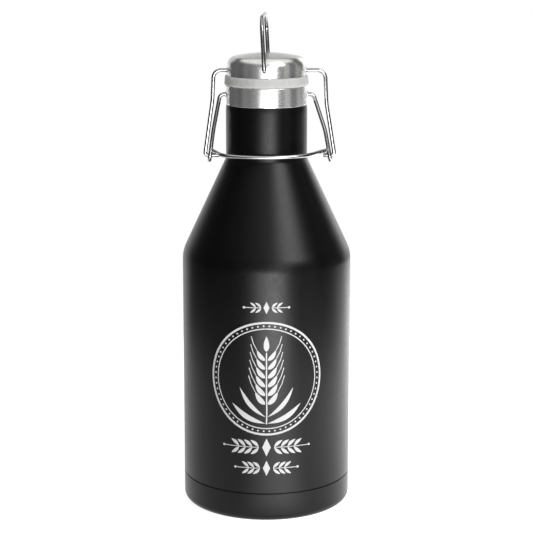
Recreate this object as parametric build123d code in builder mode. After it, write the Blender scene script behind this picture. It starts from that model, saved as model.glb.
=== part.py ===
"""Double-wall growler with a swing-top lid. Millimetres, +Z up, the front faces -Y."""
from build123d import *
import math
import os

os.makedirs("parts", exist_ok=True)

# ---- driving dimensions -------------------------------------------------
body_r = 59.0                # outside radius of the painted shell and the base cup
base_corner_r = 5.0          # round under the base cup
seam_z = 20.1                # top edge of the base cup
seam_gap = 0.5               # the groove between the cup and the shell
shoulder_z = 180.1           # where the wall and the cone would meet
shoulder_r = 24.0            # round of the shoulder
foot_z = 246.1               # where the cone and the neck meet
foot_r = 4.0
neck_r = 28.2                # outside radius of the neck
paint_top_z = 283.3          # the painted shell ends, the bare collar starts
taper_z = 280.2              # from here up the neck draws in a little
taper = 0.25
mouth_z = 296.5              # top face of the collar
bore_r = 23.5                # radius of the mouth
shell_t = 0.8                # sheet thickness of both walls
inner_r = 53.2               # inside radius of the inner vessel
inner_drop = 1.3             # the inner shoulder sits this much lower

gasket_low_z = 296.54        # just clear of the collar
gasket_top_z = 303.1
gasket_r = 29.2
cap_r = 27.1
cap_t = 0.9
cap_top_z = 318.6            # crown of the lid
crown_r = 110.0              # the lid's top is part of a sphere
cap_round = 6.0              # round between the lid's top and its side
plug_low_z = 286.0
plug_r = 20.0
plug_tip_r = 17.5
plug_t = 1.0

wire_r = 1.4                 # all three wires are the same stock
pin_play = 0.05              # radial play of a wire's end in its socket
socket_r = 2.5               # outside radius of the lid's sockets
lever_socket_r = 2.2

lever_z = 290.1              # the lever's axis, through the collar
bail_z = 306.7               # the bail's axis, through the lid's skirt
loop_z = 308.2               # the carry loop's axis, through the lid's skirt
hook_y = 0.4                 # where the bail's ends hook into the lever's eyes
hook_z = 247.4
eye_half = 3.4               # half the side of each eye, to the wire's centre
eye_round = 3.2
loop_turn = 2.9              # degrees the loop's axis is turned about Z
loop_lean = 3.2              # degrees the loop leans towards -X
loop_half = 29.4             # half the distance between the loop's legs
loop_high = 36.05            # height of the loop above its axis


def near(x, y):
    """The corner of the sketch being built that lies at (x, y)."""
    return vertices().sort_by_distance((x, y, 0))[0]


def wire(points, radii):
    """Round wire bent along the points, each bend with its own radius."""
    start = Vector(points[0])
    with BuildPart() as bent:
        with BuildLine():
            FilletPolyline(*points, radius=radii)
        with BuildSketch(Plane(origin=start, z_dir=Vector(points[1]) - start)):
            Circle(wire_r)
        sweep()
    return bent.part


def loop_point(along, high):
    """A point of the carry loop's plane: along its axis, and above it."""
    turn = math.radians(loop_turn)
    lean = math.radians(loop_lean)
    x = along * math.sin(turn) - high * math.sin(lean) * math.cos(turn)
    y = along * math.cos(turn) + high * math.sin(lean) * math.sin(turn)
    return (x, y, loop_z + high * math.cos(lean))


# ---- base cup -----------------------------------------------------------
cup_in = body_r - 0.85
with BuildPart() as base_cup:
    with BuildSketch(Plane.XZ):
        with BuildLine():
            Polyline(
                (0, 2.0), (49.5, 2.0), (51.5, 0), (body_r, 0), (body_r, seam_z),
                (cup_in, seam_z), (cup_in, 0.9), (51.2, 0.9), (49.2, 2.9), (0, 2.9), close=True,
            )
        make_face()
        fillet(near(body_r, 0), base_corner_r)
        fillet(near(cup_in, 0.9), base_corner_r - 0.85)
        fillet(near(body_r, seam_z), 0.3)
    revolve(axis=Axis.Z)
base_cup.part.label = "base_cup"
export_step(base_cup.part, "parts/base_cup.step")

# ---- painted outer shell ------------------------------------------------
half_lean = math.radians(12.5)
lap_r = cup_in - 0.05
corner_drop = shell_t * math.tan(half_lean)
with BuildPart() as outer_shell:
    with BuildSketch(Plane.XZ):
        with BuildLine():
            Polyline(
                (lap_r, 5.0), (lap_r, seam_z + seam_gap), (body_r, seam_z + seam_gap),
                (body_r, shoulder_z), (neck_r, foot_z), (neck_r, taper_z),
                (neck_r - taper, paint_top_z), (neck_r - shell_t, paint_top_z),
                (neck_r - shell_t, foot_z - corner_drop),
                (body_r - shell_t, shoulder_z - corner_drop), (body_r - shell_t, 24.0),
                (lap_r - shell_t, 23.0), (lap_r - shell_t, 5.0), close=True,
            )
        make_face()
        fillet(near(body_r, shoulder_z), shoulder_r)
        fillet(near(body_r - shell_t, shoulder_z - corner_drop), shoulder_r - shell_t)
        fillet(near(neck_r, foot_z), foot_r)
        fillet(near(neck_r - shell_t, foot_z - corner_drop), foot_r + shell_t)
        fillet(near(body_r, seam_z + seam_gap), 0.3)
        fillet(near(neck_r, taper_z), 30.0)
        fillet(near(neck_r - taper, paint_top_z), 0.3)
    revolve(axis=Axis.Z)
outer_shell.part.label = "outer_shell"
export_step(outer_shell.part, "parts/outer_shell.step")

# ---- bottom of the vacuum jacket, its seal and the getter ---------------
dish_r = lap_r - shell_t - 0.05
with BuildPart() as jacket_bottom:
    with BuildSketch(Plane.XZ):
        with BuildLine():
            Polyline(
                (4.0, 5.2), (dish_r, 5.2), (dish_r, 12.0), (dish_r - shell_t, 12.0),
                (dish_r - shell_t, 6.0), (4.0, 6.0), close=True,
            )
        make_face()
        fillet(near(dish_r, 5.2), 2.6)
        fillet(near(dish_r - shell_t, 6.0), 1.8)
    revolve(axis=Axis.Z)
jacket_bottom.part.label = "jacket_bottom"
export_step(jacket_bottom.part, "parts/jacket_bottom.step")

with BuildPart() as vacuum_seal:
    with BuildSketch(Plane.XZ):
        with BuildLine():
            Polyline(
                (0, 4.2), (7.0, 4.2), (7.0, 5.2), (3.98, 5.2), (3.98, 6.6), (0, 6.6), close=True,
            )
        make_face()
        fillet(near(7.0, 4.2), 0.6)
    revolve(axis=Axis.Z)
vacuum_seal.part.label = "vacuum_seal"
export_step(vacuum_seal.part, "parts/vacuum_seal.step")

with BuildPart() as getter:
    with BuildSketch(Plane.XY.offset(6.0)):
        with Locations((26.0, 0)):
            Circle(9.0)
    extrude(amount=1.4)
    fillet(getter.edges().group_by(Axis.Z)[-1], 0.4)
getter.part.label = "getter"
export_step(getter.part, "parts/getter.step")

# ---- inner vessel -------------------------------------------------------
inner_out = inner_r + shell_t
inner_slope = (foot_z - shoulder_z) / (body_r - neck_r)
inner_top_z = shoulder_z - inner_drop
inner_foot_z = inner_top_z + (inner_r - bore_r) * inner_slope
with BuildPart() as inner_vessel:
    with BuildSketch(Plane.XZ):
        with BuildLine():
            Polyline(
                (inner_r, 13.5), (inner_r, inner_top_z), (bore_r, inner_foot_z),
                (bore_r, paint_top_z), (bore_r + shell_t, paint_top_z),
                (bore_r + shell_t, inner_foot_z + corner_drop),
                (inner_out, inner_top_z + corner_drop), (inner_out, 13.5), close=True,
            )
        make_face()
        fillet(near(inner_r, inner_top_z), 18.0)
        fillet(near(inner_out, inner_top_z + corner_drop), 18.0 + shell_t)
        fillet(near(bore_r, inner_foot_z), 6.0)
        fillet(near(bore_r + shell_t, inner_foot_z + corner_drop), 6.0 - shell_t)
    revolve(axis=Axis.Z)
inner_vessel.part.label = "inner_vessel"
export_step(inner_vessel.part, "parts/inner_vessel.step")

floor_r = inner_r - 0.05
with BuildPart() as inner_bottom:
    with BuildSketch(Plane.XZ):
        with BuildLine():
            Polyline(
                (0, 11.6), (floor_r, 11.6), (floor_r, 17.5), (floor_r - shell_t, 17.5),
                (floor_r - shell_t, 12.4), (0, 12.4), close=True,
            )
        make_face()
        fillet(near(floor_r, 11.6), 4.0)
        fillet(near(floor_r - shell_t, 12.4), 3.2)
    revolve(axis=Axis.Z)
inner_bottom.part.label = "inner_bottom"
export_step(inner_bottom.part, "parts/inner_bottom.step")

# ---- bare steel collar at the mouth -------------------------------------
spigot_z = paint_top_z - 4.0
spigot_in = bore_r + shell_t + 0.04
spigot_out = neck_r - shell_t - 0.04
with BuildPart() as mouth_collar:
    with BuildSketch(Plane.XZ):
        with BuildLine():
            Polyline(
                (bore_r, paint_top_z), (spigot_in, paint_top_z), (spigot_in, spigot_z),
                (spigot_out, spigot_z), (spigot_out, paint_top_z), (neck_r, paint_top_z),
                (neck_r, mouth_z), (bore_r, mouth_z), close=True,
            )
        make_face()
        fillet(near(neck_r, mouth_z), 0.6)
        fillet(near(bore_r, mouth_z), 1.2)
        fillet(near(neck_r, paint_top_z), 0.3)
    revolve(axis=Axis.Z)
    for side in (-1, 1):
        with Locations((side * 27.2, 0, lever_z)):
            Cylinder(lever_socket_r + 0.03, 6.0, rotation=(0, 90, 0), mode=Mode.SUBTRACT)
mouth_collar.part.label = "mouth_collar"
export_step(mouth_collar.part, "parts/mouth_collar.step")

# ---- the lever's two sockets in the collar ------------------------------
with BuildPart() as lever_socket_left:
    with Locations((-26.4, 0, lever_z)):
        Cylinder(lever_socket_r, 4.4, rotation=(0, 90, 0))
        Cylinder(wire_r + pin_play, 4.4, rotation=(0, 90, 0), mode=Mode.SUBTRACT)
    fillet(lever_socket_left.edges().group_by(Axis.X)[0], 0.25)
lever_socket_left.part.label = "lever_socket_left"
export_step(lever_socket_left.part, "parts/lever_socket_left.step")

with BuildPart() as lever_socket_right:
    with Locations((26.4, 0, lever_z)):
        Cylinder(lever_socket_r, 4.4, rotation=(0, 90, 0))
        Cylinder(wire_r + pin_play, 4.4, rotation=(0, 90, 0), mode=Mode.SUBTRACT)
    fillet(lever_socket_right.edges().group_by(Axis.X)[-1], 0.25)
lever_socket_right.part.label = "lever_socket_right"
export_step(lever_socket_right.part, "parts/lever_socket_right.step")

# ---- swing lever: legs, eyes and the bow round the front of the neck ----
eye_front = hook_y - eye_half
eye_back = hook_y + eye_half
eye_low = hook_z - eye_half
eye_high = hook_z + eye_half
lever_points = [
    (24.8, 0, lever_z), (32.4, 0, lever_z), (40.6, -1.9, 265.5),
    (44.6, eye_front, eye_low), (44.4, eye_back, eye_low), (42.8, eye_back, eye_high),
    (26.5, -25.0, 250.3), (-1.0, -33.2, 250.1), (-29.2, -25.5, 250.3),
    (-38.6, eye_back, eye_high), (-39.6, eye_back, eye_low), (-39.7, eye_front, eye_low),
    (-36.9, -1.9, 265.0), (-32.1, 0, lever_z), (-24.8, 0, lever_z),
]
lever_bends = [
    3.5, 40.0, eye_round, eye_round, eye_round, 24.0, 60.0, 18.0,
    eye_round, eye_round, eye_round, 60.0, 3.5,
]
with BuildPart() as swing_lever:
    add(wire(lever_points, lever_bends))
swing_lever.part.label = "swing_lever"
export_step(swing_lever.part, "parts/swing_lever.step")

# ---- bail: from the lid's two sides down to the lever's eyes ------------
left_bail_points = [
    (-21.2, 0, bail_z), (-36.5, 0, bail_z), (-37.4, 0.1, 286.0),
    (-42.9, hook_y, hook_z), (-33.2, hook_y, hook_z),
]
right_bail_points = [
    (21.2, 0, bail_z), (40.5, 0, bail_z), (41.5, 0.1, 284.0),
    (47.4, hook_y, hook_z), (39.6, hook_y, hook_z),
]
with BuildPart() as lid_bail:
    add(wire(left_bail_points, [5.5, 50.0, 2.0]))
    add(wire(right_bail_points, [6.0, 50.0, 2.0]))
    # the two halves are one wire: it runs straight through the lid
    with Locations((0, 0, bail_z)):
        Cylinder(wire_r, 42.4, rotation=(0, 90, 0))
lid_bail.part.label = "lid_bail"
export_step(lid_bail.part, "parts/lid_bail.step")

# ---- lid cap ------------------------------------------------------------
cap_in = cap_r - cap_t
corner_x = cap_r - cap_round
crown_low_z = cap_top_z - crown_r
corner_z = crown_low_z + math.sqrt((crown_r - cap_round) ** 2 - corner_x ** 2)
crown_share = corner_x / (crown_r - cap_round)


def crown_point(share, drop):
    """A point of the lid's domed top, whose centre lies on the axis, or of its inner face."""
    radius = crown_r - drop
    x = share * crown_share * radius
    return (x, crown_low_z + math.sqrt(radius ** 2 - x ** 2))


with BuildPart() as lid_cap:
    with BuildSketch(Plane.XZ):
        with BuildLine():
            Line((0, gasket_top_z), (cap_r, gasket_top_z))
            Line((cap_r, gasket_top_z), (cap_r, corner_z))
            TangentArc((cap_r, corner_z), crown_point(1, 0), tangent=(0, 1))
            ThreePointArc(crown_point(1, 0), crown_point(0.5, 0), crown_point(0, 0))
            Line(crown_point(0, 0), (0, gasket_top_z))
        make_face()
    revolve(axis=Axis.Z)
    with BuildSketch(Plane.XZ):
        with BuildLine():
            Line((0, gasket_top_z - 1), (cap_in, gasket_top_z - 1))
            Line((cap_in, gasket_top_z - 1), (cap_in, corner_z))
            TangentArc((cap_in, corner_z), crown_point(1, cap_t), tangent=(0, 1))
            ThreePointArc(crown_point(1, cap_t), crown_point(0.5, cap_t), crown_point(0, cap_t))
            Line(crown_point(0, cap_t), (0, gasket_top_z - 1))
        make_face()
    revolve(axis=Axis.Z, mode=Mode.SUBTRACT)
    for turn in (0, 180):
        with Locations(Rotation(0, 0, turn) * Location((26.0, 0, bail_z))):
            Cylinder(socket_r + 0.03, 6.0, rotation=(0, 90, 0), mode=Mode.SUBTRACT)
    for turn in (90 - loop_turn, 270 - loop_turn):
        with Locations(Rotation(0, 0, turn) * Location((26.0, 0, loop_z))):
            Cylinder(socket_r + 0.03, 6.0, rotation=(0, 90, 0), mode=Mode.SUBTRACT)
lid_cap.part.label = "lid_cap"
export_step(lid_cap.part, "parts/lid_cap.step")

# ---- tube through the lid that the bail turns in ------------------------
with BuildPart() as bail_tube:
    with Locations((0, 0, bail_z)):
        Cylinder(socket_r, 54.8, rotation=(0, 90, 0))
        Cylinder(wire_r + pin_play, 54.8, rotation=(0, 90, 0), mode=Mode.SUBTRACT)
bail_tube.part.label = "bail_tube"
export_step(bail_tube.part, "parts/bail_tube.step")

# ---- the carry loop's two sockets in the lid ----------------------------
with BuildPart() as loop_socket_front:
    with Locations(Rotation(0, 0, 270 - loop_turn) * Location((24.0, 0, loop_z))):
        Cylinder(socket_r, 6.8, rotation=(0, 90, 0))
        Cylinder(wire_r + pin_play, 6.8, rotation=(0, 90, 0), mode=Mode.SUBTRACT)
loop_socket_front.part.label = "loop_socket_front"
export_step(loop_socket_front.part, "parts/loop_socket_front.step")

with BuildPart() as loop_socket_rear:
    with Locations(Rotation(0, 0, 90 - loop_turn) * Location((24.0, 0, loop_z))):
        Cylinder(socket_r, 6.8, rotation=(0, 90, 0))
        Cylinder(wire_r + pin_play, 6.8, rotation=(0, 90, 0), mode=Mode.SUBTRACT)
loop_socket_rear.part.label = "loop_socket_rear"
export_step(loop_socket_rear.part, "parts/loop_socket_rear.step")

# ---- plug under the lid -------------------------------------------------
plug_neck_z = 294.0
flange_z = gasket_top_z + 0.9
flange_r = cap_r - cap_t - 0.05
with BuildPart() as lid_plug:
    with BuildSketch(Plane.XZ):
        with BuildLine():
            Polyline(
                (0, plug_low_z), (plug_tip_r, plug_low_z), (plug_r, plug_neck_z),
                (plug_r, gasket_top_z), (flange_r, gasket_top_z), (flange_r, flange_z),
                (plug_r - plug_t, flange_z), (plug_r - plug_t, plug_neck_z + 0.2),
                (plug_tip_r - 0.9, plug_low_z + plug_t), (0, plug_low_z + plug_t), close=True,
            )
        make_face()
        fillet(near(plug_tip_r, plug_low_z), 1.8)
        fillet(near(plug_tip_r - 0.9, plug_low_z + plug_t), 0.9)
    revolve(axis=Axis.Z)
lid_plug.part.label = "lid_plug"
export_step(lid_plug.part, "parts/lid_plug.step")

# ---- insulation inside the lid ------------------------------------------
with BuildPart() as lid_foam:
    with BuildSketch(Plane.XZ):
        with BuildLine():
            Polyline(
                (0, plug_low_z + plug_t + 0.1), (15.2, plug_low_z + plug_t + 0.1),
                (plug_r - plug_t - 0.15, plug_neck_z + 0.2), (plug_r - plug_t - 0.15, 314.6),
                (0, 314.6), close=True,
            )
        make_face()
    revolve(axis=Axis.Z)
    with Locations((0, 0, bail_z)):
        Cylinder(socket_r + 0.05, 60.0, rotation=(0, 90, 0), mode=Mode.SUBTRACT)
lid_foam.part.label = "lid_foam"
export_step(lid_foam.part, "parts/lid_foam.step")

# ---- silicone ring between the lid and the collar -----------------------
with BuildPart() as lid_gasket:
    with BuildSketch(Plane.XZ):
        with BuildLine():
            Polyline(
                (plug_r + 0.02, gasket_low_z), (gasket_r, gasket_low_z),
                (gasket_r - 0.5, gasket_top_z), (plug_r + 0.02, gasket_top_z), close=True,
            )
        make_face()
        fillet(near(gasket_r, gasket_low_z), 1.3)
        fillet(near(gasket_r - 0.5, gasket_top_z), 1.0)
    revolve(axis=Axis.Z)
lid_gasket.part.label = "lid_gasket"
export_step(lid_gasket.part, "parts/lid_gasket.step")

# ---- carry loop ---------------------------------------------------------
loop_points = [
    loop_point(-21.2, 0), loop_point(-loop_half, 0), loop_point(-loop_half, loop_high),
    loop_point(loop_half, loop_high), loop_point(loop_half, 0), loop_point(21.2, 0),
]
with BuildPart() as carry_loop:
    add(wire(loop_points, [2.0, 12.0, 12.0, 2.0]))
carry_loop.part.label = "carry_loop"
export_step(carry_loop.part, "parts/carry_loop.step")
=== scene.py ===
"""Looks for the swing-top growler: lathe-turned shells, bent wires, etched badge, studio."""

import math

import bmesh
import bpy
from mathutils import Matrix, Vector


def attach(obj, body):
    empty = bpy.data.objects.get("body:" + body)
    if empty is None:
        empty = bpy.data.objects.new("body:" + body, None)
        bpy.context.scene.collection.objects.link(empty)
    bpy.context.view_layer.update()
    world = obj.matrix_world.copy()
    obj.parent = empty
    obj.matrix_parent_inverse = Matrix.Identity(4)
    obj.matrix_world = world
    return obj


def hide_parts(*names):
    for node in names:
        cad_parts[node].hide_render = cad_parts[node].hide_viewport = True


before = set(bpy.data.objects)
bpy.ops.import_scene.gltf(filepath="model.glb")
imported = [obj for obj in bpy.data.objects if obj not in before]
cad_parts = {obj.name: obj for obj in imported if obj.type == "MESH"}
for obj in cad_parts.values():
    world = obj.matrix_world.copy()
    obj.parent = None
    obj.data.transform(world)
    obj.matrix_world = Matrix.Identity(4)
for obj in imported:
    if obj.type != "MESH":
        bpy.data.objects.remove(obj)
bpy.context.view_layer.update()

MM = 0.001
TAU = 2 * math.pi


# ---------------------------------------------------------------- shapes
def new_object(name, bm, sharp_deg=32):
    """A mesh object from bm, smooth but for edges sharper than sharp_deg."""
    bmesh.ops.recalc_face_normals(bm, faces=bm.faces)
    limit = math.radians(sharp_deg)
    for face in bm.faces:
        face.smooth = True
    for edge in bm.edges:
        if len(edge.link_faces) == 2:
            edge.smooth = edge.calc_face_angle(0) < limit
    mesh = bpy.data.meshes.new(name)
    bm.to_mesh(mesh)
    bm.free()
    ob = bpy.data.objects.new(name, mesh)
    bpy.context.scene.collection.objects.link(ob)
    return ob


def rounded(corners):
    """A closed profile: corners are (r, z) or (r, z, round radius), in mm."""
    out = []
    count = len(corners)
    for i, corner in enumerate(corners):
        p = Vector(corner[:2])
        round_r = corner[2] if len(corner) > 2 else 0
        if not round_r:
            out.append(p)
            continue
        a = (Vector(corners[i - 1][:2]) - p).normalized()
        b = (Vector(corners[(i + 1) % count][:2]) - p).normalized()
        out += arc_between(p, a, b, round_r, 5)
    return out


def arc_between(p, a, b, radius, step_deg):
    """Points of the arc that rounds corner p, whose sides leave it along a and b."""
    half = a.angle(b) / 2
    reach = radius / math.tan(half)
    middle = (a + b).normalized() * (radius / math.sin(half))
    start = a * reach - middle
    end = b * reach - middle
    turn = start.angle(end)
    count = max(2, math.ceil(math.degrees(turn) / step_deg))
    points = []
    for k in range(count + 1):
        t = k / count
        v = (start * math.sin((1 - t) * turn) + end * math.sin(t * turn)) / math.sin(turn)
        points.append(p + middle + v)
    return points


def long_runs_cut(points, longest):
    """Adds points so that no run of the closed profile is longer than longest mm."""
    out = []
    for i, p in enumerate(points):
        q = points[(i + 1) % len(points)]
        out.append(p)
        if p.x < 1e-6 and q.x < 1e-6:
            continue
        count = math.ceil((q - p).length / longest)
        out += [p.lerp(q, k / count) for k in range(1, count)]
    return out


def lathe(name, corners, sides=192, longest=12.0):
    """Turns a closed profile in mm round the Z axis."""
    profile = long_runs_cut(rounded(corners), longest)
    bm = bmesh.new()
    rings = []
    for p in profile:
        if p.x < 1e-6:
            rings.append([bm.verts.new((0, 0, p.y * MM))] * sides)
            continue
        ring = []
        for s in range(sides):
            a = TAU * s / sides
            ring.append(bm.verts.new((p.x * MM * math.cos(a), p.x * MM * math.sin(a), p.y * MM)))
        rings.append(ring)
    for i, low in enumerate(rings):
        high = rings[(i + 1) % len(rings)]
        for s in range(sides):
            t = (s + 1) % sides
            corner = []
            for v in (low[s], low[t], high[t], high[s]):
                if v not in corner:
                    corner.append(v)
            if len(corner) > 2:
                bm.faces.new(corner)
    return new_object(name, bm)


def route(points, radii, step_deg=6):
    """Points along straight runs joined by tangent arcs, in mm."""
    points = [Vector(p) for p in points]
    out = [points[0]]
    for i, radius in enumerate(radii, 1):
        a = (points[i - 1] - points[i]).normalized()
        b = (points[i + 1] - points[i]).normalized()
        out += arc_between(points[i], a, b, radius, step_deg)
    return out + [points[-1]]


def tube(name, line, radius, sides=28):
    """A round wire along a line of points in mm, its ends eased over 0.3 mm."""
    tangents = []
    for i, p in enumerate(line):
        before = line[max(i - 1, 0)]
        after = line[min(i + 1, len(line) - 1)]
        tangents.append((after - before).normalized())
    stations = [(p, t, 1.0) for p, t in zip(line, tangents)]
    lip = 0.3
    first, last = stations[0], stations[-1]
    stations[0] = (first[0] + first[1] * lip, first[1], 1.0)
    stations[-1] = (last[0] - last[1] * lip, last[1], 1.0)
    stations.insert(0, (first[0] + first[1] * lip * 0.3, first[1], 1 - lip * 0.25 / radius))
    stations.insert(0, (first[0], first[1], 1 - lip / radius))
    stations.append((last[0] - last[1] * lip * 0.3, last[1], 1 - lip * 0.25 / radius))
    stations.append((last[0], last[1], 1 - lip / radius))
    side = stations[0][1].orthogonal().normalized()
    bm = bmesh.new()
    rings = []
    previous = stations[0][1]
    for p, t, size in stations:
        side = previous.rotation_difference(t) @ side
        side = (side - t * side.dot(t)).normalized()
        up = t.cross(side)
        previous = t
        ring = []
        for s in range(sides):
            a = TAU * s / sides
            v = p + (side * math.cos(a) + up * math.sin(a)) * radius * size
            ring.append(bm.verts.new(v * MM))
        rings.append(ring)
    for low, high in zip(rings, rings[1:]):
        for s in range(sides):
            t = (s + 1) % sides
            bm.faces.new((low[s], low[t], high[t], high[s]))
    bm.faces.new(rings[0])
    bm.faces.new(rings[-1])
    return new_object(name, bm, 50)


def turned_ring(name, centre, axis, outer, inner, length, edge=0.25):
    """A short tube, chamfered, centred on a point in mm and lying along axis."""
    half = length / 2
    corners = [
        (inner, -half), (outer, -half, edge), (outer, half, edge), (inner, half),
    ]
    ob = lathe(name, corners, 48)
    turn = Vector((0, 0, 1)).rotation_difference(Vector(axis)).to_matrix().to_4x4()
    ob.data.transform(Matrix.Translation(Vector(centre) * MM) @ turn)
    return ob


def stand_for(ob, body, node):
    """ob rides on body and is shown in place of the CAD node."""
    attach(ob, body)
    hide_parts(node)
    return ob


# ------------------------------------------------------------- materials
def material(name):
    """A new node material: returns it, its node tree and its Principled shader."""
    mat = bpy.data.materials.new(name)
    mat.use_nodes = True
    tree = mat.node_tree
    return mat, tree, tree.nodes["Principled BSDF"]


def node(tree, kind, **values):
    """A shader node with its inputs and properties set by name."""
    made = tree.nodes.new(kind)
    for key, value in values.items():
        if key in made.inputs:
            made.inputs[key].default_value = value
        else:
            setattr(made, key, value)
    return made


def noise(tree, vector, scale, detail=3.0, rough=0.5):
    """Noise over a vector: its value socket."""
    made = node(tree, "ShaderNodeTexNoise")
    made.inputs["Scale"].default_value = scale
    made.inputs["Detail"].default_value = detail
    made.inputs["Roughness"].default_value = rough
    tree.links.new(vector, made.inputs["Vector"])
    return made.outputs["Fac"]


def ramp(tree, fac, low, high, start=0.3, end=0.7):
    """Maps fac from start..end to low..high, either numbers or colours."""
    made = node(tree, "ShaderNodeMapRange" if isinstance(low, float) else "ShaderNodeValToRGB")
    if isinstance(low, float):
        for key, value in zip(("From Min", "From Max", "To Min", "To Max"), (start, end, low, high)):
            made.inputs[key].default_value = value
        tree.links.new(fac, made.inputs["Value"])
        return made.outputs["Result"]
    made.color_ramp.elements[0].position = start
    made.color_ramp.elements[0].color = (*low, 1)
    made.color_ramp.elements[1].position = end
    made.color_ramp.elements[1].color = (*high, 1)
    tree.links.new(fac, made.inputs["Fac"])
    return made.outputs["Color"]


def bump(tree, height, shader, distance):
    """Tilts the shader's normal by a height that is distance metres at most."""
    made = node(tree, "ShaderNodeBump")
    made.inputs["Distance"].default_value = distance
    tree.links.new(height, made.inputs["Height"])
    tree.links.new(made.outputs["Normal"], shader.inputs["Normal"])


def object_point(tree):
    """The point's place on its own object, in metres."""
    return tree.nodes.new("ShaderNodeTexCoord").outputs["Object"]


def powder_coat():
    """Black paint with a fine grain."""
    mat, tree, shader = material("black_powder_coat")
    point = object_point(tree)
    broad = noise(tree, point, 26.0, 3.0)
    grain = noise(tree, point, 1500.0, 2.0)
    colour = ramp(tree, broad, (0.0004, 0.0004, 0.00045), (0.0009, 0.0009, 0.00095))
    tree.links.new(colour, shader.inputs["Base Color"])
    shader.inputs["Specular IOR Level"].default_value = 0.22
    rough = ramp(tree, noise(tree, point, 420.0, 4.0), 0.28, 0.34)
    tree.links.new(rough, shader.inputs["Roughness"])
    bump(tree, grain, shader, 0.00003)
    return mat


# the brushed steel's lines: how finely they lie across, and how slowly they change round
LINES_ACROSS, LINES_ROUND = 9000.0, 5.0


def brushed(name, tone, rough=0.24):
    """Steel brushed round the Z axis: fine lines of one height, or of one radius on a top."""
    mat, tree, shader = material(name)
    point = object_point(tree)
    split = node(tree, "ShaderNodeSeparateXYZ")
    tree.links.new(point, split.inputs["Vector"])
    square = node(tree, "ShaderNodeVectorMath", operation="MULTIPLY")
    square.inputs[1].default_value = (1, 1, 0)
    tree.links.new(point, square.inputs[0])
    length = node(tree, "ShaderNodeVectorMath", operation="LENGTH")
    tree.links.new(square.outputs["Vector"], length.inputs[0])
    around = node(tree, "ShaderNodeVectorMath", operation="NORMALIZE")
    tree.links.new(square.outputs["Vector"], around.inputs[0])
    split_round = node(tree, "ShaderNodeSeparateXYZ")
    tree.links.new(around.outputs["Vector"], split_round.inputs["Vector"])
    across = node(tree, "ShaderNodeMath", operation="ADD")
    tree.links.new(split.outputs["Z"], across.inputs[0])
    tree.links.new(length.outputs["Value"], across.inputs[1])
    height = node(tree, "ShaderNodeMath", operation="MULTIPLY")
    height.inputs[1].default_value = LINES_ACROSS
    tree.links.new(across.outputs["Value"], height.inputs[0])
    joined = node(tree, "ShaderNodeCombineXYZ")
    for axis in ("X", "Y"):
        slow = node(tree, "ShaderNodeMath", operation="MULTIPLY")
        slow.inputs[1].default_value = LINES_ROUND
        tree.links.new(split_round.outputs[axis], slow.inputs[0])
        tree.links.new(slow.outputs["Value"], joined.inputs[axis])
    tree.links.new(height.outputs["Value"], joined.inputs["Z"])
    lines = noise(tree, joined.outputs["Vector"], 1.0, 3.0, 0.6)
    dark = (tone * 0.9, tone * 0.9, tone * 0.89)
    light = (tone * 1.06, tone * 1.06, tone * 1.05)
    colour = ramp(tree, lines, dark, light)
    tree.links.new(colour, shader.inputs["Base Color"])
    tree.links.new(ramp(tree, lines, rough + 0.05, rough - 0.03), shader.inputs["Roughness"])
    shader.inputs["Metallic"].default_value = 0.91
    shader.inputs["Anisotropic"].default_value = 0.75
    shader.inputs["Anisotropic Rotation"].default_value = 0.25
    tangent = node(tree, "ShaderNodeTangent", direction_type="RADIAL", axis="Z")
    tree.links.new(tangent.outputs["Tangent"], shader.inputs["Tangent"])
    bump(tree, lines, shader, 0.000002)
    return mat


def polished(name, tone, rough, scale=700.0):
    """Smooth bare metal with slight scuffs."""
    mat, tree, shader = material(name)
    point = object_point(tree)
    scuffs = noise(tree, point, scale, 4.0)
    colour = ramp(tree, scuffs, (tone * 0.93,) * 3, (tone * 1.05,) * 3)
    tree.links.new(colour, shader.inputs["Base Color"])
    tree.links.new(ramp(tree, scuffs, rough * 0.7, rough * 1.4), shader.inputs["Roughness"])
    shader.inputs["Metallic"].default_value = 1.0
    bump(tree, noise(tree, point, scale * 0.4, 2.0), shader, 0.00001)
    return mat


def silicone():
    """Pale translucent rubber."""
    mat, tree, shader = material("silicone")
    point = object_point(tree)
    cloud = noise(tree, point, 120.0, 3.0)
    colour = ramp(tree, cloud, (0.325, 0.325, 0.32), (0.37, 0.37, 0.365))
    tree.links.new(colour, shader.inputs["Base Color"])
    tree.links.new(ramp(tree, cloud, 0.5, 0.62), shader.inputs["Roughness"])
    shader.inputs["Subsurface Weight"].default_value = 0.8
    shader.inputs["Subsurface Radius"].default_value = (1, 1, 1)
    shader.inputs["Subsurface Scale"].default_value = 0.008
    bump(tree, noise(tree, point, 1800.0, 2.0), shader, 0.00002)
    return mat


def moulded(name, low, high, rough, grain=1400.0):
    """Moulded plastic or foam, between two colours."""
    mat, tree, shader = material(name)
    point = object_point(tree)
    colour = ramp(tree, noise(tree, point, 60.0, 3.0), low, high)
    tree.links.new(colour, shader.inputs["Base Color"])
    uneven = ramp(tree, noise(tree, point, 500.0), rough - 0.05, rough + 0.05)
    tree.links.new(uneven, shader.inputs["Roughness"])
    bump(tree, noise(tree, point, grain, 2.0), shader, 0.00003)
    return mat


def etched():
    """Bare metal shown where the coat is etched away: frosted and almost even in tone."""
    mat, tree, shader = material("etched_metal")
    point = object_point(tree)
    frost = noise(tree, point, 2600.0, 3.0, 0.7)
    colour = ramp(tree, frost, (0.34, 0.34, 0.34), (0.44, 0.44, 0.44))
    tree.links.new(colour, shader.inputs["Base Color"])
    tree.links.new(ramp(tree, frost, 0.62, 0.75), shader.inputs["Roughness"])
    shader.inputs["Metallic"].default_value = 0.2
    bump(tree, frost, shader, 0.00002)
    return mat


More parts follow.
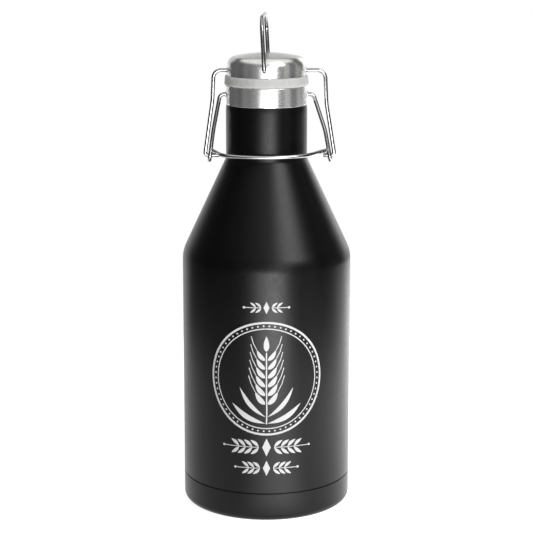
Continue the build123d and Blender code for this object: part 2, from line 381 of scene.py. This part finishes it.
coat = powder_coat()
collar_steel = brushed("brushed_collar_steel", tone=0.65)
# painted shade: the lid's brushed steel is a darker copy of the collar's (tone 0.60 against 0.65),
# to dim its highlight
lid_painted_shade_steel = brushed("brushed_lid_steel_painted_shade", tone=0.60)
wire_metal = polished("polished_wire", 0.34, 0.09)
# painted shade: the carry loop gets a darker copy of the polished wire (tone 0.26 against 0.34)
loop_painted_shade_metal = polished("polished_loop_wire_painted_shade", 0.26, 0.08)
socket_metal = polished("turned_sockets", 0.6, 0.3)
inner_metal = polished("satin_inner_steel", 0.5, 0.32, 240.0)
dull_metal = polished("dull_getter", 0.25, 0.6, 900.0)
rubber = silicone()
plug_white = moulded("plug_plastic", (0.62, 0.62, 0.61), (0.72, 0.72, 0.71), 0.42)
foam_cream = moulded("insulation", (0.68, 0.66, 0.58), (0.8, 0.78, 0.7), 0.85, 500.0)
mark = etched()

# ------------------------------------------------------------ the vessel
# All sizes in mm, the same as in part.py.
BODY_R, NECK_R, BORE_R = 59.0, 28.2, 23.5
SEAM_Z, SHOULDER_Z, FOOT_Z, PAINT_Z, MOUTH_Z = 20.1, 180.1, 246.1, 283.3, 296.5
SEAM_GAP = 0.5
SHELL = 0.8                                     # sheet thickness
DROP = SHELL * math.tan(math.radians(12.5))     # how much lower the sheet's inner corners are
LAP_R = BODY_R - 0.9                            # the shell's lap inside the base cup
CUP_IN_R = BODY_R - 0.85                        # inside of the base cup
TAPER_Z, TAPER = 280.2, 0.25                    # the neck draws in towards the collar
LEDGE_R, LEDGE_Z = 27.36, 279.3                 # the collar's part inside the shell
LINER_R, LINER_TOP_R, LINER_LOW = 53.2, 24.3, 13.5
LEVER_Z, BAIL_Z, LOOP_Z = 290.1, 306.7, 308.2   # the wires' pivots
PIN_R = 1.45                                    # bore of the sockets

shell = lathe("painted_shell", [
    (LAP_R, 5.0), (LAP_R, SEAM_Z + SEAM_GAP), (BODY_R, SEAM_Z + SEAM_GAP, 0.3),
    (BODY_R, SHOULDER_Z, 24.0), (NECK_R, FOOT_Z, 4.0), (NECK_R, TAPER_Z, 30.0),
    (NECK_R - TAPER, PAINT_Z, 0.3), (NECK_R - SHELL, PAINT_Z), (NECK_R - SHELL, FOOT_Z - DROP, 4.8),
    (BODY_R - SHELL, SHOULDER_Z - DROP, 23.2), (BODY_R - SHELL, 24.0),
    (LAP_R - SHELL, 23.0), (LAP_R - SHELL, 5.0),
], 256)
stand_for(shell, "vessel", "outer_shell")
shell.data.materials.append(coat)

cup = lathe("base_cup_shell", [
    (0, 2.0), (49.5, 2.0, 0.6), (51.5, 0, 0.6), (BODY_R, 0, 5.0), (BODY_R, SEAM_Z, 0.3),
    (CUP_IN_R, SEAM_Z), (CUP_IN_R, 0.9, 4.15), (51.2, 0.9), (49.2, 2.9), (0, 2.9),
], 256)
stand_for(cup, "vessel", "base_cup")
cup.data.materials.append(coat)

collar = lathe("steel_collar", [
    (BORE_R, PAINT_Z), (24.34, PAINT_Z), (24.34, LEDGE_Z), (LEDGE_R, LEDGE_Z), (LEDGE_R, PAINT_Z),
    (NECK_R, PAINT_Z, 0.3), (NECK_R, MOUTH_Z, 0.6), (BORE_R, MOUTH_Z, 1.2),
], 192)
stand_for(collar, "vessel", "mouth_collar")
collar.data.materials.append(collar_steel)

INNER_TOP = SHOULDER_Z - 1.3
INNER_FOOT = INNER_TOP + (LINER_R - BORE_R) * (FOOT_Z - SHOULDER_Z) / (BODY_R - NECK_R)
liner = lathe("inner_wall", [
    (LINER_R, LINER_LOW), (LINER_R, INNER_TOP, 18.0), (BORE_R, INNER_FOOT, 6.0),
    (BORE_R, PAINT_Z), (LINER_TOP_R, PAINT_Z), (LINER_TOP_R, INNER_FOOT + DROP, 5.2),
    (LINER_R + SHELL, INNER_TOP + DROP, 18.8), (LINER_R + SHELL, LINER_LOW),
], 128)
stand_for(liner, "vessel", "inner_vessel")
liner.data.materials.append(inner_metal)

floor_dish = lathe("inner_floor", [
    (0, 11.6), (53.15, 11.6, 4.0), (53.15, 17.5), (52.35, 17.5), (52.35, 12.4, 3.2), (0, 12.4),
], 128)
stand_for(floor_dish, "vessel", "inner_bottom")
floor_dish.data.materials.append(inner_metal)

for side, side_name in ((-1, "left"), (1, "right")):
    socket = turned_ring(
        "lever_bush_" + side_name, (side * 26.4, 0, LEVER_Z), (side, 0, 0), 2.2, PIN_R, 4.4)
    stand_for(socket, "vessel", "lever_socket_" + side_name)
    socket.data.materials.append(socket_metal)

# -------------------------------------------------------------- the wires
WIRE_R = 1.4
HOOK_Y, HOOK_Z = 0.4, 247.4                     # where the bail hooks into the lever's eyes
EYE_FRONT, EYE_BACK, EYE_LOW, EYE_HIGH = -3.0, 3.8, 244.0, 250.8
lever_line = route([
    (24.8, 0, LEVER_Z), (32.4, 0, LEVER_Z), (40.6, -1.9, 265.5),
    (44.6, EYE_FRONT, EYE_LOW), (44.4, EYE_BACK, EYE_LOW), (42.8, EYE_BACK, EYE_HIGH),
    (26.5, -25.0, 250.3), (-1.0, -33.2, 250.1), (-29.2, -25.5, 250.3),
    (-38.6, EYE_BACK, EYE_HIGH), (-39.6, EYE_BACK, EYE_LOW), (-39.7, EYE_FRONT, EYE_LOW),
    (-36.9, -1.9, 265.0), (-32.1, 0, LEVER_Z), (-24.8, 0, LEVER_Z),
], [3.5, 40, 3.2, 3.2, 3.2, 24, 60, 18, 3.2, 3.2, 3.2, 60, 3.5])
lever = tube("lever_wire", lever_line, WIRE_R)
stand_for(lever, "lever", "swing_lever")

bail_line = route([
    (-33.2, HOOK_Y, HOOK_Z), (-42.9, HOOK_Y, HOOK_Z), (-37.4, 0.1, 286.0), (-36.5, 0, BAIL_Z),
    (40.5, 0, BAIL_Z), (41.5, 0.1, 284.0), (47.4, HOOK_Y, HOOK_Z), (39.6, HOOK_Y, HOOK_Z),
], [2, 50, 5.5, 6, 50, 2])
bail = tube("bail_wire", bail_line, WIRE_R)
stand_for(bail, "bail", "lid_bail")

TURN, LEAN = math.radians(2.9), math.radians(3.2)
LOOP_HALF, LOOP_HIGH, LOOP_IN = 29.4, 36.05, 21.2


def loop_point(along, high):
    """A point of the loop's slightly turned and leaning plane."""
    x = along * math.sin(TURN) - high * math.sin(LEAN) * math.cos(TURN)
    y = along * math.cos(TURN) + high * math.sin(LEAN) * math.sin(TURN)
    return (x, y, LOOP_Z + high * math.cos(LEAN))


loop_line = route([
    loop_point(-LOOP_IN, 0), loop_point(-LOOP_HALF, 0), loop_point(-LOOP_HALF, LOOP_HIGH),
    loop_point(LOOP_HALF, LOOP_HIGH), loop_point(LOOP_HALF, 0), loop_point(LOOP_IN, 0),
], [2, 12, 12, 2])
loop = tube("loop_wire", loop_line, WIRE_R)
stand_for(loop, "loop", "carry_loop")
for wire in (lever, bail):
    wire.data.materials.append(wire_metal)
loop.data.materials.append(loop_painted_shade_metal)

# ---------------------------------------------------------------- the lid
CAP_R, RING_Z, CAP_TOP = 27.1, 303.1, 318.6
DOME_R, CAP_ROUND = 110.0, 6.0
LID_SHEET = 0.9
GASKET_LOW, GASKET_R, GASKET_IN = 296.54, 29.2, 20.02
PLUG_LOW, PLUG_TIP_R, PLUG_R = 286.0, 17.5, 20.0
CORNER_Z = CAP_TOP - DOME_R + math.sqrt((DOME_R - CAP_ROUND) ** 2 - (CAP_R - CAP_ROUND) ** 2)


def lid_line(drop, steps=9, turns=14):
    """The lid's side, corner and dome from its lower edge to the axis, drop mm inside."""
    line = [(CAP_R - drop, RING_Z), (CAP_R - drop, (RING_Z + CORNER_Z) / 2)]
    lean = math.asin((CAP_R - CAP_ROUND) / (DOME_R - CAP_ROUND))
    for k in range(turns + 1):
        a = (math.pi / 2 - lean) * k / turns
        reach = CAP_ROUND - drop
        line.append((CAP_R - CAP_ROUND + reach * math.cos(a), CORNER_Z + reach * math.sin(a)))
    for k in range(1, steps + 1):
        a = lean * (1 - k / steps)
        reach = DOME_R - drop
        line.append((reach * math.sin(a), CAP_TOP - DOME_R + reach * math.cos(a)))
    return line


cap = lathe("lid_shell", lid_line(0) + lid_line(LID_SHEET)[::-1], 192, 3.0)
stand_for(cap, "lid", "lid_cap")
cap.data.materials.append(lid_painted_shade_steel)

ring = lathe("gasket_ring", [
    (GASKET_IN, GASKET_LOW, 0.4), (GASKET_R, GASKET_LOW, 1.3), (28.7, RING_Z, 1.0),
    (GASKET_IN, RING_Z, 0.4),
], 192)
stand_for(ring, "lid", "lid_gasket")
ring.data.materials.append(rubber)

plug = lathe("plug_shell", [
    (0, PLUG_LOW), (PLUG_TIP_R, PLUG_LOW, 1.8), (PLUG_R, 294.0, 6.0), (PLUG_R, RING_Z),
    (26.15, RING_Z),
    (26.15, 304.0), (19.0, 304.0), (19.0, 294.2), (16.6, 287.0, 0.9), (0, 287.0),
], 128)
stand_for(plug, "lid", "lid_plug")
plug.data.materials.append(plug_white)

BUSH_R = 2.5
bush = turned_ring("bail_bush", (0, 0, BAIL_Z), (1, 0, 0), BUSH_R, PIN_R, 54.8)
stand_for(bush, "lid", "bail_tube")
bush.data.materials.append(socket_metal)
for sign, end_name in ((-1, "front"), (1, "rear")):
    axis = Vector((math.sin(TURN), math.cos(TURN), 0)) * sign
    centre = axis * 24.0 + Vector((0, 0, LOOP_Z))
    bush = turned_ring("loop_bush_" + end_name, centre, axis, BUSH_R, PIN_R, 6.8)
    stand_for(bush, "lid", "loop_socket_" + end_name)
    bush.data.materials.append(socket_metal)

# hidden pieces whose CAD shape is shown as it is
hidden = {
    "jacket_bottom": inner_metal, "vacuum_seal": socket_metal, "getter": dull_metal,
    "lid_foam": foam_cream,
}
for name, mat in hidden.items():
    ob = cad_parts[name]
    ob.data.materials.clear()
    ob.data.materials.append(mat)


# ------------------------------------------------------ the etched badge
class Etching:
    """Flat shapes in (u, z) mm, wrapped round the front of the wall as thin closed plates.

    u runs round the wall from the front to the right, z is the height."""

    ABOVE, BELOW = 0.05, -0.04      # the plates' two faces, measured from the wall
    FINE = 1.6                      # no cut across a shape is wider than this

    def __init__(self):
        self.bm = bmesh.new()

    def wrap(self, u, z, lift):
        """A vertex over the wall at (u, z)."""
        r = (BODY_R + lift) * MM
        a = u / BODY_R
        return self.bm.verts.new((r * math.sin(a), -r * math.cos(a), z * MM))

    def strip(self, left, right, closed=False):
        """Fills between two lines of equal length, finely enough to follow the wall."""
        widest = max(math.dist(a, b) for a, b in zip(left, right))
        across = max(1, math.ceil(widest / self.FINE))
        layers = []
        for lift in (self.ABOVE, self.BELOW):
            grid = []
            for (u1, z1), (u2, z2) in zip(left, right):
                grid.append([
                    self.wrap(u1 + (u2 - u1) * k / across, z1 + (z2 - z1) * k / across, lift)
                    for k in range(across + 1)
                ])
            layers.append(grid)
        top, low = layers
        rows = len(left)
        for i in range(rows if closed else rows - 1):
            j = (i + 1) % rows
            for k in range(across):
                for g in (top, low):
                    self.bm.faces.new((g[i][k], g[i][k + 1], g[j][k + 1], g[j][k]))
            self.bm.faces.new((top[i][0], top[j][0], low[j][0], low[i][0]))
            self.bm.faces.new((top[i][-1], top[j][-1], low[j][-1], low[i][-1]))
        if not closed:
            for i in (0, -1):
                for k in range(across):
                    self.bm.faces.new((top[i][k], top[i][k + 1], low[i][k + 1], low[i][k]))

    def ring(self, u, z, outer, inner, sides=96):
        """A flat ring."""
        turns = [TAU * s / sides for s in range(sides)]
        self.strip(
            [(u + outer * math.cos(a), z + outer * math.sin(a)) for a in turns],
            [(u + inner * math.cos(a), z + inner * math.sin(a)) for a in turns], closed=True)

    def dot(self, u, z, radius):
        """A round dot."""
        self.blade((u, z - radius), (u, z + radius), radius, round_shape, 10)

    def blade(self, foot, tip, half, shape, steps=14, bend=0.0):
        """A leaf from foot to tip: shape(t) gives its half width as a share of half."""
        foot, tip = Vector(foot), Vector(tip)
        along = tip - foot
        side = Vector((-along.y, along.x)).normalized()
        left, right = [], []
        for i in range(steps + 1):
            t = min(max(i / steps, 0.004), 0.996)
            middle = foot + along * t + side * bend * math.sin(math.pi * t)
            wide = max(half * shape(t), 0.04)
            left.append(tuple(middle - side * wide))
            right.append(tuple(middle + side * wide))
        self.strip(left, right)

    def stroke(self, points, width):
        """A line of even width, cut finely enough to follow the wall."""
        line = []
        for p, q in zip(points, points[1:]):
            cuts = math.ceil(math.dist(p, q) / 2.0)
            line += [Vector(p).lerp(Vector(q), k / cuts) for k in range(cuts)]
        points = line + [Vector(points[-1])]
        left, right = [], []
        for i, p in enumerate(points):
            t = (points[min(i + 1, len(points) - 1)] - points[max(i - 1, 0)]).normalized()
            n = Vector((-t.y, t.x)) * width / 2
            left.append(tuple(p - n))
            right.append(tuple(p + n))
        self.strip(left, right)

    def finish(self, name):
        """Makes the object that rides on the vessel."""
        ob = new_object(name, self.bm, 20)
        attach(ob, "vessel")
        ob.data.materials.append(mark)
        return ob


# the half width of a blade at t, from 0 at its foot to 1 at its tip
def round_shape(t):
    return math.sqrt(max(0.0, 1 - (2 * t - 1) ** 2))


def grain_shape(t):
    return math.sin(math.pi * t ** 0.72) ** 0.8


def leaf_shape(t):
    return math.sin(math.pi * t) ** 0.9


def diamond_shape(t):
    return 1 - abs(2 * t - 1)


# a double ring with dots between
BADGE_Z = 102.5
DOTS, DOTS_R = 60, 37.0
badge = Etching()
badge.ring(0, BADGE_Z, 40.0, 38.6)
badge.ring(0, BADGE_Z, 35.4, 34.7)
for i in range(DOTS):
    a = TAU * (i + 0.5) / DOTS
    badge.dot(DOTS_R * math.cos(a), BADGE_Z + DOTS_R * math.sin(a), 0.6)
badge.finish("badge_rings")

# an ear of barley: a stem, pairs of grains with long awns, one grain on top, four leaves
GRAIN_PAIRS, FIRST_GRAIN_Z, GRAIN_STEP, GRAIN_SHRINK = 6, 84.5, 6.2, 0.035
ear = Etching()
ear.stroke([(0, 70.5), (0.2, 80), (0, 95), (0, 121)], 0.9)
for row in range(GRAIN_PAIRS):
    z = FIRST_GRAIN_Z + row * GRAIN_STEP
    size = 1 - GRAIN_SHRINK * row
    for side in (-1, 1):
        foot = Vector((side * 1.1, z))
        tip = Vector((side * (1.1 + 6.6 * size), z + 8.8 * size))
        ear.blade(foot, tip, 1.75 * size, grain_shape, bend=-side * 0.7)
        end = tip + Vector((side * 4.6, 11.5)) * size
        bow = tip.lerp(end, 0.5) + Vector((side * 0.5, -0.2))
        ear.stroke([tuple(tip), tuple(bow), tuple(end)], 0.5)
ear.blade((0, 121.8), (0, 132.2), 1.9, grain_shape)
for side in (-1, 1):
    ear.blade((side * 0.7, 71.0), (side * 24.0, 84.5), 1.8, leaf_shape, bend=-side * 2.6)
    ear.blade((side * 0.7, 75.5), (side * 18.5, 96.0), 1.5, leaf_shape, bend=-side * 2.4)
ear.finish("badge_ear")

rules = Etching()


def sprig(z, reach, leaf, count):
    """A centre diamond, and to each side a twig with count pairs of leaves and a dot."""
    rules.blade((0, z - leaf * 0.9), (0, z + leaf * 0.9), leaf * 0.42, diamond_shape)
    for side in (-1, 1):
        start = leaf * 0.75
        step = (reach - leaf * 0.9 - start) / count
        rules.stroke([(side * start, z), (side * reach, z)], 0.5)
        for k in range(count):
            u = start + step * k
            for way in (-1, 1):
                rules.blade(
                    (side * u, z + way * 0.2), (side * (u + leaf * 0.82), z + way * leaf * 0.72),
                    leaf * 0.16, leaf_shape, bend=side * way * leaf * 0.06)
        rules.dot(side * (reach + 0.4), z, 0.85)


sprig(152.2, 15.0, 4.8, 2)
sprig(54.0, 30.0, 7.0, 4)
sprig(39.0, 21.5, 6.0, 3)
rules.finish("badge_rules")

# ------------------------------------------------------------ the studio
def sums(tree, operation, *values):
    """A Math node over sockets and numbers."""
    made = node(tree, "ShaderNodeMath", operation=operation)
    for k, value in enumerate(values):
        if isinstance(value, (int, float)):
            made.inputs[k].default_value = value
        else:
            tree.links.new(value, made.inputs[k])
    return made.outputs["Value"]


def rises(tree, value, middle, soft):
    """0 below middle and 1 above it, smooth over soft."""
    made = node(tree, "ShaderNodeMapRange", interpolation_type="SMOOTHSTEP")
    made.inputs["From Min"].default_value = middle - soft / 2
    made.inputs["From Max"].default_value = middle + soft / 2
    tree.links.new(value, made.inputs["Value"])
    return made.outputs["Result"]


def softbox(tree, turn, high, left, right, low, top, glow):
    """Light from a patch of directions. left and right are (degrees round from the camera's
    side, softness), low and top are (degrees up, softness)."""
    made = rises(tree, turn, *left)
    made = sums(tree, "MULTIPLY", made, sums(tree, "SUBTRACT", 1.0, rises(tree, turn, *right)))
    made = sums(tree, "MULTIPLY", made, rises(tree, high, *low))
    made = sums(tree, "MULTIPLY", made, sums(tree, "SUBTRACT", 1.0, rises(tree, high, *top)))
    return sums(tree, "MULTIPLY", made, glow)


world = bpy.data.worlds.new("studio")
bpy.context.scene.world = world
world.use_nodes = True
sky = world.node_tree
ways = sky.nodes.new("ShaderNodeTexCoord").outputs["Generated"]
way = node(sky, "ShaderNodeSeparateXYZ")
sky.links.new(ways, way.inputs["Vector"])
behind = sums(sky, "MULTIPLY", way.outputs["Y"], -1.0)
turn = sums(sky, "DEGREES", sums(sky, "ARCTAN2", way.outputs["X"], behind))
turned = sums(sky, "ABSOLUTE", turn)
high = sums(sky, "DEGREES", sums(sky, "ARCSINE", way.outputs["Z"]))

# The studio's light panels. Angles in degrees, each with the softness of that edge: left and
# right are counted round from the front, to the right if positive, and low and top are heights
# over the horizon. BOTH panels have a mirror twin on the left.
ONE, BOTH = False, True
ROUND, ANY = (-300, 10), (300, 10)
DEEP, TALL = (-60, 10), (60, 10)
PANELS = [
    # the key light, low in front: what the neck, the steel and the body reflect
    (ONE, (-6, 44), (20.5, 6), (-17, 4), (-7, 1.5), 14.5),
    (ONE, (-6, 44), (30, 8), (-17, 4), (-11, 5), 9.0),
    (ONE, (-30, 70), (30, 10), DEEP, (60, 20), 0.45),
    # over it, to the right: the lid's corner and the cone
    (ONE, (8, 20), (34, 8), (2, 8), (24, 12), 2.5),
    (ONE, (24, 26), (57, 14), (24, 12), (56, 12), 7.8),
    # narrow strips at the sides
    (ONE, (53, 3), (72, 3), DEEP, TALL, 0.36),
    (ONE, (94, 5), (109, 5), DEEP, TALL, 0.24),
    (ONE, (-72, 4), (-56, 6), DEEP, TALL, 0.1),
    (ONE, ROUND, (-89, 5), DEEP, TALL, 0.05),
    # behind: the pale edges
    (ONE, (110, 16), (166, 14), DEEP, (-12, 4), 2.2),
    (ONE, (138, 10), (166, 14), (-3, 5), (25, 8), 1.1),
    (BOTH, (134, 14), ANY, DEEP, (-16, 6), 0.65),
    (BOTH, (134, 14), ANY, (-16, 6), (2, 6), 1.0),
    (BOTH, (134, 14), ANY, (2, 6), (31, 5), 0.7),
    # overhead
    (BOTH, ROUND, ANY, (45, 8), ANY, 1.2),
]
glows = [softbox(sky, turned if both else turn, high, *panel) for both, *panel in PANELS]
total = 0.05
for glow in glows:
    total = sums(sky, "ADD", glow, total)
ambient = sky.nodes["Background"]
sky.links.new(total, ambient.inputs["Strength"])
ambient.inputs["Color"].default_value = (1, 1, 1, 1)
pale_sky = node(sky, "ShaderNodeBackground", Color=(1, 1, 1, 1), Strength=1.0)
choose = sky.nodes.new("ShaderNodeMixShader")
rays = sky.nodes.new("ShaderNodeLightPath")
sky.links.new(rays.outputs["Is Camera Ray"], choose.inputs["Fac"])
sky.links.new(ambient.outputs["Background"], choose.inputs[1])
sky.links.new(pale_sky.outputs["Background"], choose.inputs[2])
sky.links.new(choose.outputs["Shader"], sky.nodes["World Output"].inputs["Surface"])

# A round pale table top whose glow is painted light: it emits a painted pool of light in front, and
# more glow to the right, and so lights the vessel from below.
FLOOR_R, FLOOR_SIDES, FLOOR_RINGS = 0.46, 96, 6
POOL_GLOW, LEFT_GLOW, RIGHT_GLOW = 4.0, 0.87, 2.8
bm = bmesh.new()
hub = bm.verts.new((0, 0, 0))
rim = None
for k in range(1, FLOOR_RINGS + 1):
    r = FLOOR_R * k / FLOOR_RINGS
    turns = [TAU * s / FLOOR_SIDES for s in range(FLOOR_SIDES)]
    ring_of = [bm.verts.new((r * math.cos(a), r * math.sin(a), 0)) for a in turns]
    for s in range(FLOOR_SIDES):
        t = (s + 1) % FLOOR_SIDES
        inside = (rim[t], rim[s]) if rim else (hub,)
        bm.faces.new((*inside, ring_of[s], ring_of[t]))
    rim = ring_of
mesh = bpy.data.meshes.new("table_top")
bm.to_mesh(mesh)
bm.free()
table = bpy.data.objects.new("table_top", mesh)
bpy.context.scene.collection.objects.link(table)
mat, tree, shader = material("table_white_painted_glow")
shader.inputs["Base Color"].default_value = (0.25, 0.25, 0.25, 1)
shader.inputs["Roughness"].default_value = 0.9
shader.inputs["Specular IOR Level"].default_value = 0.0
shader.inputs["Emission Color"].default_value = (1, 1, 1, 1)
spot = node(tree, "ShaderNodeSeparateXYZ")
tree.links.new(object_point(tree), spot.inputs["Vector"])
ahead = sums(tree, "MULTIPLY", spot.outputs["Y"], -1.0)
facing = sums(tree, "DEGREES", sums(tree, "ARCTAN2", spot.outputs["X"], ahead))
# painted light: the table's emission paints a pool of light in front of the vessel
painted_light_pool = sums(tree, "MULTIPLY", rises(tree, facing, -6, 50),
            sums(tree, "SUBTRACT", 1.0, rises(tree, facing, 32, 34)))
reach = node(tree, "ShaderNodeVectorMath", operation="LENGTH")
tree.links.new(object_point(tree), reach.inputs[0])
painted_light_pool = sums(tree, "MULTIPLY", painted_light_pool, rises(tree, reach.outputs["Value"], 0.085, 0.06))
painted_light_pool = sums(tree, "MULTIPLY", painted_light_pool, POOL_GLOW)
# painted light: the table's emission grows brighter towards the right
right = ramp(tree, spot.outputs["X"], LEFT_GLOW, RIGHT_GLOW, -0.05, 0.3)
tree.links.new(sums(tree, "ADD", painted_light_pool, right), shader.inputs["Emission Strength"])
mesh.materials.append(mat)

# ------------------------------------------------- the view and the camera
view = bpy.context.scene.view_settings
view.view_transform = "Standard"
view.look = "None"

lens = bpy.data.cameras.new("camera")
lens.sensor_width = 36.0
lens.lens = 112.46
lens.shift_y = -16.5 / 533
lens.clip_start = 0.05
camera = bpy.data.objects.new("camera", lens)
camera.location = (0, -1.150, 0.414)
camera.rotation_euler = (math.radians(78.5), 0, 0)
bpy.context.scene.collection.objects.link(camera)
bpy.context.scene.camera = camera
